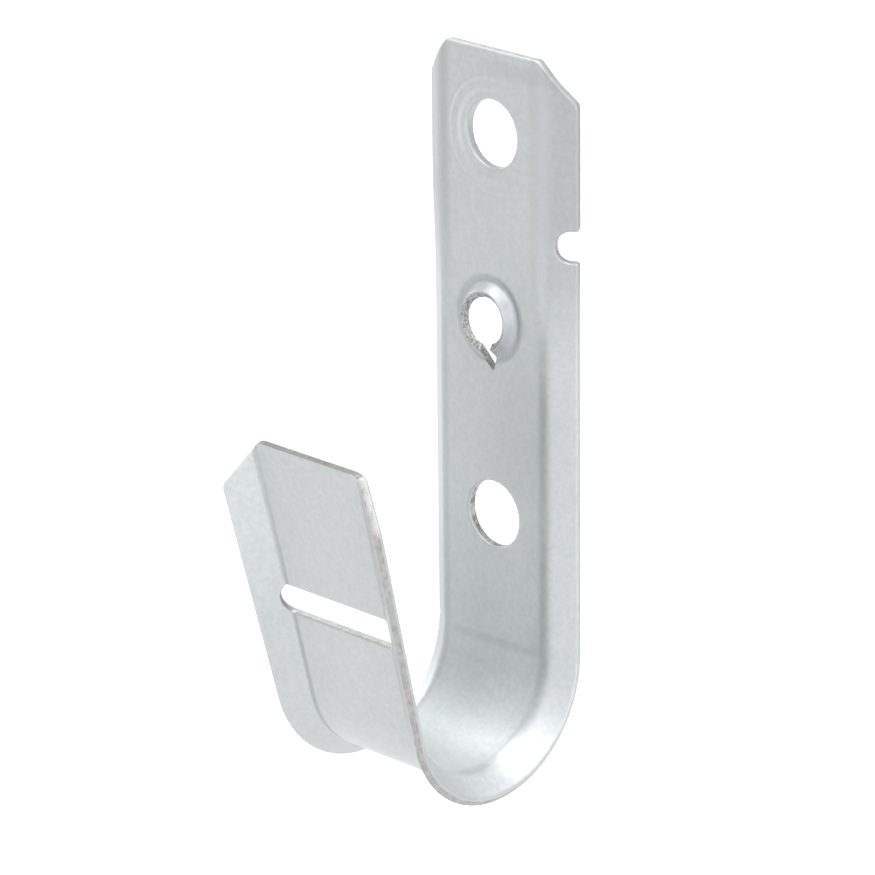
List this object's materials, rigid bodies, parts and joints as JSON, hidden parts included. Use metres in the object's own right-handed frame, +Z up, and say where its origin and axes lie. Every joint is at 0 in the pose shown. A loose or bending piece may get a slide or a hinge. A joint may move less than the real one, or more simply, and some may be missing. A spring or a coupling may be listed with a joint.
{
  "type": "j hook cable support",
  "caption": "J-shaped cable hook pressed from one sheet strip: flat back plate with screw holes, turned-back edges, round cradle and leaning slotted lip.",
  "frame": {"origin": "axis of the upper mounting hole, at the back face of the web", "axes": "+X across the strip, -Y out of the front of the back plate towards the lip, +Z up along the back plate"},
  "size_m": [0.0226, 0.0311, 0.0759],
  "materials": {
    "galvanised_steel": "satin zinc coating"
  },
  "bodies": {
    "root": {"hook": "galvanised_steel"}
  },
  "joints": []
}
